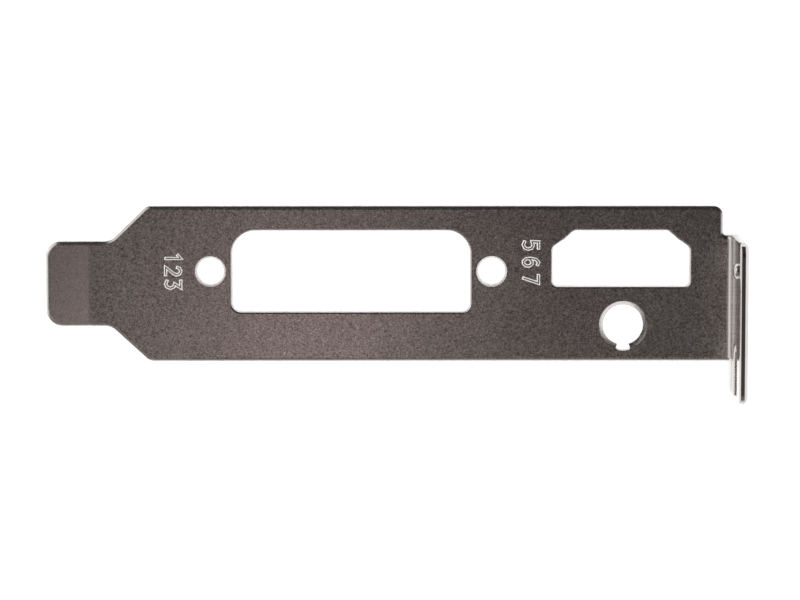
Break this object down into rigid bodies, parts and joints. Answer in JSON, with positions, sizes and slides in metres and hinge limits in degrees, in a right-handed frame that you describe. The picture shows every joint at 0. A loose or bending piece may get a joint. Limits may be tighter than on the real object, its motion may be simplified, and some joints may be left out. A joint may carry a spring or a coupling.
{
  "type": "low profile bracket",
  "caption": "Low profile expansion slot bracket: folded sheet with a tab, port openings, a keyed jack hole and an upright flange with a screw notch.",
  "frame": {"origin": "midpoint between the pair of screw holes, on the plate's back face", "axes": "+X from the tab towards the flange, +Y across the plate towards the side where the flange stops short of the plate's edge, +Z out of the plate's front face, the way the flange stands"},
  "size_m": [0.0822, 0.0224, 0.0114],
  "materials": {
    "plated_steel": "satin plating with a fine grain"
  },
  "bodies": {
    "root": {"bracket": "plated_steel"}
  },
  "joints": []
}
